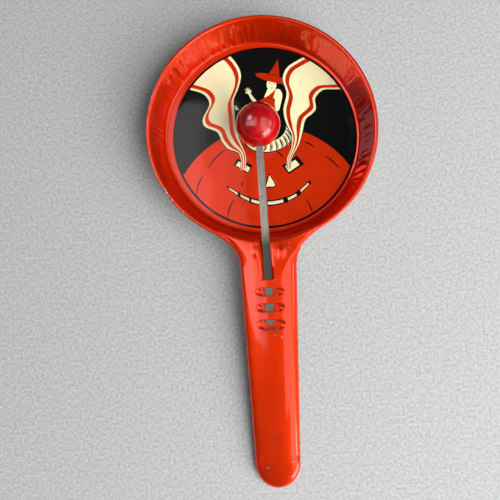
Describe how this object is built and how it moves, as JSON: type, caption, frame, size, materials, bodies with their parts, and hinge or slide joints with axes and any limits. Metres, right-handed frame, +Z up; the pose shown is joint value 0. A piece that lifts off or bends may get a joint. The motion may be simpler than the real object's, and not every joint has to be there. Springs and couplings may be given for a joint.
{
  "type": "tin clapper noisemaker",
  "caption": "Frying-pan noisemaker pressed from printed tinplate, with a spring strip woven through straps in the handle that carries a wooden ball clapper over the pan.",
  "frame": {"origin": "centre of the pan's underside, on the surface it lies on", "axes": "+Z up out of the pan, -Y along the handle towards its tip, +X across"},
  "size_m": [0.1018, 0.2092, 0.0247],
  "materials": {
    "litho_enamel": "glossy orange litho enamel on tinplate",
    "spring_steel": "dull grey rolled spring steel",
    "painted_wood": "glossy red dipped paint"
  },
  "bodies": {
    "noisemaker": {"pan_and_handle": "litho_enamel", "spring_strip_tail": "spring_steel"},
    "clapper": {"spring_strip_arm": "spring_steel", "clapper_ball": "painted_wood"}
  },
  "joints": [
    {"name": "clapper_swing", "type": "hinge", "parent": "noisemaker", "child": "clapper", "pos_m": [-0.00057, -0.05619, 0.01484], "axis": [1, 0, 0], "range_deg": [-4.4, 35], "stiffness_Nm_per_rad": 0.115, "springref_deg": 0.77}
  ]
}
